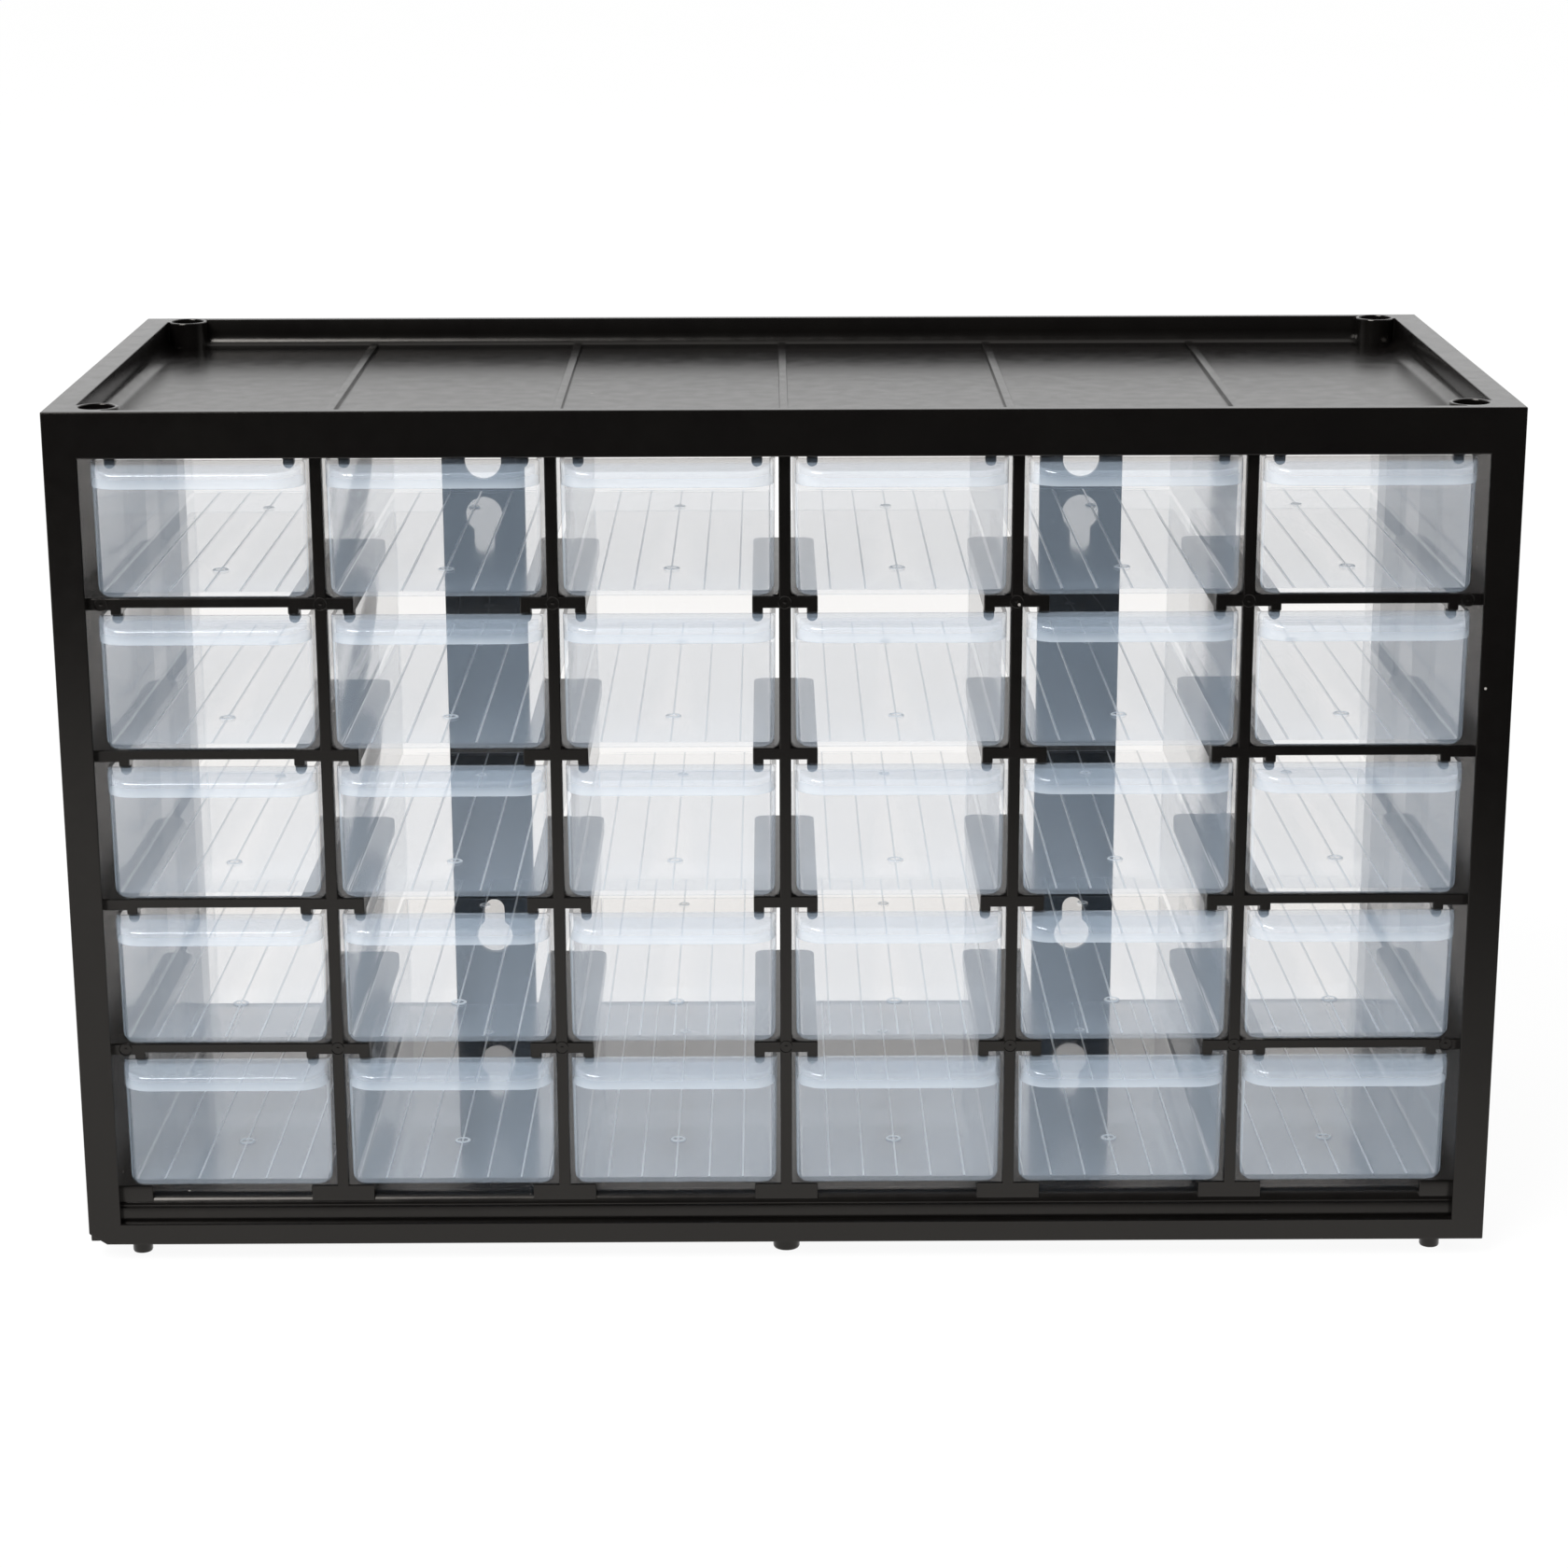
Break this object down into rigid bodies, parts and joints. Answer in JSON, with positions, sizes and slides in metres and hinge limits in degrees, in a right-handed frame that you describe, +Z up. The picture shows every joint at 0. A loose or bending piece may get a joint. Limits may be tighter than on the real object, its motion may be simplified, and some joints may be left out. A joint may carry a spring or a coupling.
{
  "type": "parts bin cabinet",
  "caption": "Benchtop parts bin cabinet with an open black plastic frame, clear sliding drawers, a tray top with stacking sockets, and pegs underneath.",
  "frame": {"origin": "centre of the footprint, grips of the closed drawers included, on the surface that the feet stand on", "axes": "+Z up; the drawers face and open towards -Y; +X is to the right of a person facing the drawers"},
  "size_m": [0.365, 0.162, 0.225],
  "materials": {
    "frame_black": "moulded black polystyrene, satin to gloss",
    "drawer_clear": "natural polypropylene, translucent with a faint blue cast"
  },
  "bodies": {
    "cabinet": {"top_panel": "frame_black", "tray_ribs": "frame_black", "top_front_strip": "frame_black", "tray_side_rims": "frame_black", "tray_back_rim": "frame_black", "stacking_sockets": "frame_black", "side_panel_left": "frame_black", "side_panel_right": "frame_black", "front_stiles": "frame_black", "inner_walls": "frame_black", "wall_ribs": "frame_black", "uprights": "frame_black", "top_guide_lips": "frame_black", "guide_lips": "frame_black", "stop_nubs": "frame_black", "tie_bars": "frame_black", "corner_gussets": "frame_black", "base_panel": "frame_black", "base_front_strip": "frame_black", "base_back_strip": "frame_black", "stacking_pegs": "frame_black", "middle_feet": "frame_black", "back_strap_left": "frame_black", "back_strap_right": "frame_black", "runners_row_1": "frame_black", "runners_row_2": "frame_black", "runners_row_3": "frame_black", "runners_row_4": "frame_black", "runners_row_5": "frame_black"},
    "drawer_r1c1": {"drawer_r1c1": "drawer_clear"},
    "drawer_r1c2": {"drawer_r1c2": "drawer_clear"},
    "drawer_r1c3": {"drawer_r1c3": "drawer_clear"},
    "drawer_r1c4": {"drawer_r1c4": "drawer_clear"},
    "drawer_r1c5": {"drawer_r1c5": "drawer_clear"},
    "drawer_r1c6": {"drawer_r1c6": "drawer_clear"},
    "drawer_r2c1": {"drawer_r2c1": "drawer_clear"},
    "drawer_r2c2": {"drawer_r2c2": "drawer_clear"},
    "drawer_r2c3": {"drawer_r2c3": "drawer_clear"},
    "drawer_r2c4": {"drawer_r2c4": "drawer_clear"},
    "drawer_r2c5": {"drawer_r2c5": "drawer_clear"},
    "drawer_r2c6": {"drawer_r2c6": "drawer_clear"},
    "drawer_r3c1": {"drawer_r3c1": "drawer_clear"},
    "drawer_r3c2": {"drawer_r3c2": "drawer_clear"},
    "drawer_r3c3": {"drawer_r3c3": "drawer_clear"},
    "drawer_r3c4": {"drawer_r3c4": "drawer_clear"},
    "drawer_r3c5": {"drawer_r3c5": "drawer_clear"},
    "drawer_r3c6": {"drawer_r3c6": "drawer_clear"},
    "drawer_r4c1": {"drawer_r4c1": "drawer_clear"},
    "drawer_r4c2": {"drawer_r4c2": "drawer_clear"},
    "drawer_r4c3": {"drawer_r4c3": "drawer_clear"},
    "drawer_r4c4": {"drawer_r4c4": "drawer_clear"},
    "drawer_r4c5": {"drawer_r4c5": "drawer_clear"},
    "drawer_r4c6": {"drawer_r4c6": "drawer_clear"},
    "drawer_r5c1": {"drawer_r5c1": "drawer_clear"},
    "drawer_r5c2": {"drawer_r5c2": "drawer_clear"},
    "drawer_r5c3": {"drawer_r5c3": "drawer_clear"},
    "drawer_r5c4": {"drawer_r5c4": "drawer_clear"},
    "drawer_r5c5": {"drawer_r5c5": "drawer_clear"},
    "drawer_r5c6": {"drawer_r5c6": "drawer_clear"}
  },
  "joints": [
    {"name": "drawer_r1c1_slide", "type": "slide", "parent": "cabinet", "child": "drawer_r1c1", "axis": [0, -0.9998, 0.0209], "range_m": [0, 0.141]},
    {"name": "drawer_r1c2_slide", "type": "slide", "parent": "cabinet", "child": "drawer_r1c2", "axis": [0, -0.9998, 0.0209], "range_m": [0, 0.141]},
    {"name": "drawer_r1c3_slide", "type": "slide", "parent": "cabinet", "child": "drawer_r1c3", "axis": [0, -0.9998, 0.0209], "range_m": [0, 0.141]},
    {"name": "drawer_r1c4_slide", "type": "slide", "parent": "cabinet", "child": "drawer_r1c4", "axis": [0, -0.9998, 0.0209], "range_m": [0, 0.141]},
    {"name": "drawer_r1c5_slide", "type": "slide", "parent": "cabinet", "child": "drawer_r1c5", "axis": [0, -0.9998, 0.0209], "range_m": [0, 0.141]},
    {"name": "drawer_r1c6_slide", "type": "slide", "parent": "cabinet", "child": "drawer_r1c6", "axis": [0, -0.9998, 0.0209], "range_m": [0, 0.141]},
    {"name": "drawer_r2c1_slide", "type": "slide", "parent": "cabinet", "child": "drawer_r2c1", "axis": [0, -0.9998, 0.0209], "range_m": [0, 0.141]},
    {"name": "drawer_r2c2_slide", "type": "slide", "parent": "cabinet", "child": "drawer_r2c2", "axis": [0, -0.9998, 0.0209], "range_m": [0, 0.141]},
    {"name": "drawer_r2c3_slide", "type": "slide", "parent": "cabinet", "child": "drawer_r2c3", "axis": [0, -0.9998, 0.0209], "range_m": [0, 0.141]},
    {"name": "drawer_r2c4_slide", "type": "slide", "parent": "cabinet", "child": "drawer_r2c4", "axis": [0, -0.9998, 0.0209], "range_m": [0, 0.141]},
    {"name": "drawer_r2c5_slide", "type": "slide", "parent": "cabinet", "child": "drawer_r2c5", "axis": [0, -0.9998, 0.0209], "range_m": [0, 0.141]},
    {"name": "drawer_r2c6_slide", "type": "slide", "parent": "cabinet", "child": "drawer_r2c6", "axis": [0, -0.9998, 0.0209], "range_m": [0, 0.141]},
    {"name": "drawer_r3c1_slide", "type": "slide", "parent": "cabinet", "child": "drawer_r3c1", "axis": [0, -0.9998, 0.0209], "range_m": [0, 0.141]},
    {"name": "drawer_r3c2_slide", "type": "slide", "parent": "cabinet", "child": "drawer_r3c2", "axis": [0, -0.9998, 0.0209], "range_m": [0, 0.141]},
    {"name": "drawer_r3c3_slide", "type": "slide", "parent": "cabinet", "child": "drawer_r3c3", "axis": [0, -0.9998, 0.0209], "range_m": [0, 0.141]},
    {"name": "drawer_r3c4_slide", "type": "slide", "parent": "cabinet", "child": "drawer_r3c4", "axis": [0, -0.9998, 0.0209], "range_m": [0, 0.141]},
    {"name": "drawer_r3c5_slide", "type": "slide", "parent": "cabinet", "child": "drawer_r3c5", "axis": [0, -0.9998, 0.0209], "range_m": [0, 0.141]},
    {"name": "drawer_r3c6_slide", "type": "slide", "parent": "cabinet", "child": "drawer_r3c6", "axis": [0, -0.9998, 0.0209], "range_m": [0, 0.141]},
    {"name": "drawer_r4c1_slide", "type": "slide", "parent": "cabinet", "child": "drawer_r4c1", "axis": [0, -0.9998, 0.0209], "range_m": [0, 0.141]},
    {"name": "drawer_r4c2_slide", "type": "slide", "parent": "cabinet", "child": "drawer_r4c2", "axis": [0, -0.9998, 0.0209], "range_m": [0, 0.141]},
    {"name": "drawer_r4c3_slide", "type": "slide", "parent": "cabinet", "child": "drawer_r4c3", "axis": [0, -0.9998, 0.0209], "range_m": [0, 0.141]},
    {"name": "drawer_r4c4_slide", "type": "slide", "parent": "cabinet", "child": "drawer_r4c4", "axis": [0, -0.9998, 0.0209], "range_m": [0, 0.141]},
    {"name": "drawer_r4c5_slide", "type": "slide", "parent": "cabinet", "child": "drawer_r4c5", "axis": [0, -0.9998, 0.0209], "range_m": [0, 0.141]},
    {"name": "drawer_r4c6_slide", "type": "slide", "parent": "cabinet", "child": "drawer_r4c6", "axis": [0, -0.9998, 0.0209], "range_m": [0, 0.141]},
    {"name": "drawer_r5c1_slide", "type": "slide", "parent": "cabinet", "child": "drawer_r5c1", "axis": [0, -0.9998, 0.0209], "range_m": [0, 0.141]},
    {"name": "drawer_r5c2_slide", "type": "slide", "parent": "cabinet", "child": "drawer_r5c2", "axis": [0, -0.9998, 0.0209], "range_m": [0, 0.141]},
    {"name": "drawer_r5c3_slide", "type": "slide", "parent": "cabinet", "child": "drawer_r5c3", "axis": [0, -0.9998, 0.0209], "range_m": [0, 0.141]},
    {"name": "drawer_r5c4_slide", "type": "slide", "parent": "cabinet", "child": "drawer_r5c4", "axis": [0, -0.9998, 0.0209], "range_m": [0, 0.141]},
    {"name": "drawer_r5c5_slide", "type": "slide", "parent": "cabinet", "child": "drawer_r5c5", "axis": [0, -0.9998, 0.0209], "range_m": [0, 0.141]},
    {"name": "drawer_r5c6_slide", "type": "slide", "parent": "cabinet", "child": "drawer_r5c6", "axis": [0, -0.9998, 0.0209], "range_m": [0, 0.141]}
  ]
}
